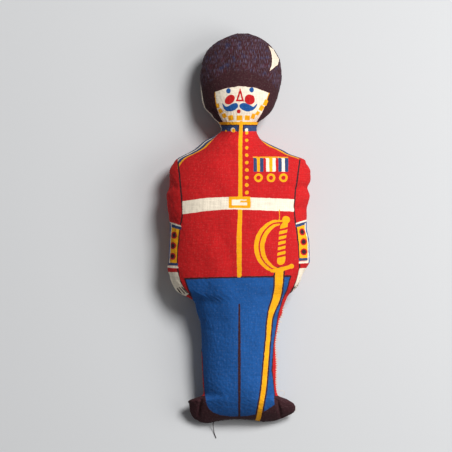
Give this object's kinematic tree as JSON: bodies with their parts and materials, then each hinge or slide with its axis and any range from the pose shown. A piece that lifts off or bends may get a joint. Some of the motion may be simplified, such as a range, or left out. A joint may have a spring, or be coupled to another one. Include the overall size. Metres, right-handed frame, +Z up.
{
  "type": "stuffed cloth toy soldier",
  "caption": "Soft stuffed rag doll of a guardsman in a tall fur cap, sewn from a printed cotton front and back panel round its edge, with a soft neck that nods.",
  "frame": {"origin": "on the flat of the back where the doll lies, at half its length from sole to cap and on its middle line", "axes": "+Y from the soles to the cap, +Z up out of the doll's front, +X to the viewer's right, which is the figure's own left"},
  "size_m": [0.1447, 0.4067, 0.0645],
  "materials": {
    "printed_red": "matt printed plain-weave cotton, red tunic above blue trousers and dark boots",
    "printed_blue": "matt printed plain-weave cotton, blue collar",
    "printed_dark": "matt printed plain-weave cotton, dark fur cap above a cream face",
    "stuffing": "loose fibre wadding",
    "seam_thread": "twisted cotton sewing thread",
    "closing_thread": "dark twisted cotton hand-sewing thread"
  },
  "bodies": {
    "trunk": {"front_panel_body": "printed_red", "front_panel_neck": "printed_blue", "back_panel_body": "printed_red", "back_panel_neck": "printed_blue", "stuffing_legs": "stuffing", "stuffing_right_boot": "stuffing", "stuffing_left_boot": "stuffing", "stuffing_waist": "stuffing", "stuffing_chest": "stuffing", "stuffing_neck": "stuffing", "seam_thread_body": "seam_thread", "seam_thread_neck": "seam_thread", "closing_stitches": "closing_thread", "closing_thread_end": "closing_thread"},
    "head": {"front_panel_head": "printed_dark", "back_panel_head": "printed_dark", "stuffing_head": "stuffing", "seam_thread_head": "seam_thread"}
  },
  "joints": [
    {"name": "neck_nod", "type": "hinge", "parent": "trunk", "child": "head", "pos_m": [0, 0.0985, 0.0254], "axis": [1, 0, 0], "range_deg": [0, 35], "stiffness_Nm_per_rad": 0.05, "deforming": ["front_panel_neck", "back_panel_neck", "stuffing_neck", "seam_thread_neck"]}
  ]
}
